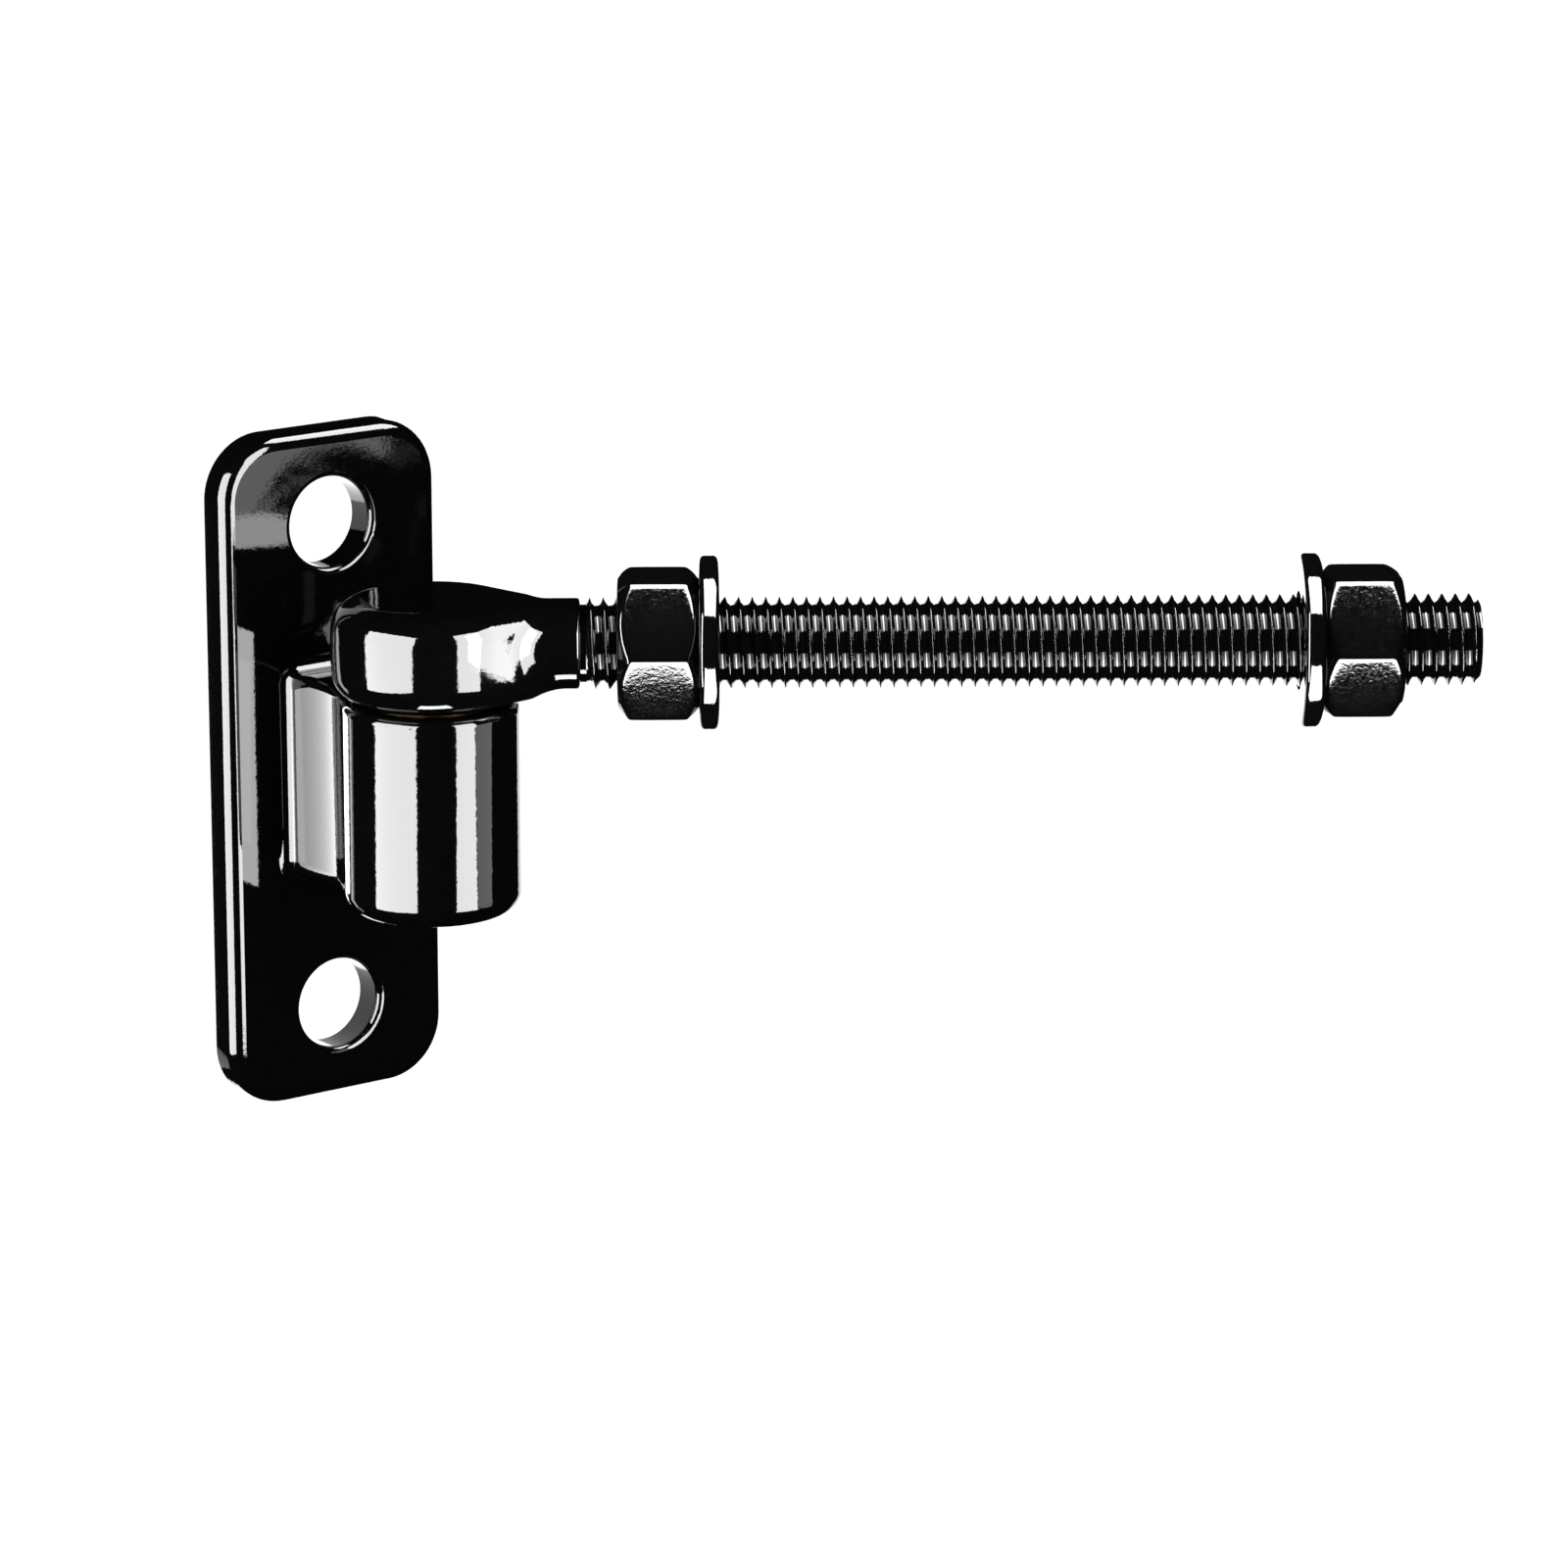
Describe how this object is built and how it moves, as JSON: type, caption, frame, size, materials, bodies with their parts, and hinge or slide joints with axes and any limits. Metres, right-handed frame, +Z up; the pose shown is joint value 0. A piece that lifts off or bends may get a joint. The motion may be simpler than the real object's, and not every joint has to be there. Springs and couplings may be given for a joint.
{
  "type": "adjustable gate hinge",
  "caption": "Post-side gate hinge: a bolt-on plate with a barrel and pin, and a swinging threaded eye bolt whose nuts and washers clamp the gate and set its gap.",
  "frame": {"origin": "centre of the mounting plate's back face, which lies against the post", "axes": "+X along the plate's width, +Y out of the plate's back towards the post, +Z up along the pin"},
  "size_m": [0.1724, 0.1454, 0.12],
  "materials": {
    "black_coating": "gloss",
    "pin_steel": "ground",
    "spring_steel": "oiled",
    "bush_bronze": "satin"
  },
  "bodies": {
    "bracket": {"hinge_bracket": "black_coating", "upper_bush": "bush_bronze", "lower_bush": "bush_bronze"},
    "eye_bolt": {"eye_bolt": "black_coating", "hinge_pin": "pin_steel", "pin_circlip": "spring_steel"},
    "inner_washer": {"inner_washer": "black_coating"},
    "inner_nut": {"inner_nut": "black_coating"},
    "outer_washer": {"outer_washer": "black_coating"},
    "outer_nut": {"outer_nut": "black_coating"}
  },
  "joints": [
    {"name": "swing", "type": "hinge", "parent": "bracket", "child": "eye_bolt", "pos_m": [0, -0.037, 0], "axis": [0, 0, 1], "range_deg": [-145, 35]},
    {"name": "inner_travel", "type": "slide", "parent": "eye_bolt", "child": "inner_washer", "axis": [0.8192, -0.5736, 0], "range_m": [-0.00472, 0.04397]},
    {"name": "inner_turn", "type": "hinge", "parent": "inner_washer", "child": "inner_nut", "pos_m": [0.03174, -0.05923, 0.02785], "axis": [0.8192, -0.5736, 0], "range_deg": [-720, 6840]},
    {"name": "outer_travel", "type": "slide", "parent": "eye_bolt", "child": "outer_washer", "axis": [0.8192, -0.5736, 0], "range_m": [-0.04397, 0.01165]},
    {"name": "outer_turn", "type": "hinge", "parent": "outer_washer", "child": "outer_nut", "pos_m": [0.12996, -0.128, 0.02785], "axis": [0.8192, -0.5736, 0], "range_deg": [-6840, 1800]}
  ],
  "couplings": [
    {"joint": "inner_travel", "follows": "inner_turn", "m_per_rad": 0.0003675},
    {"joint": "outer_travel", "follows": "outer_turn", "m_per_rad": 0.0003675}
  ]
}
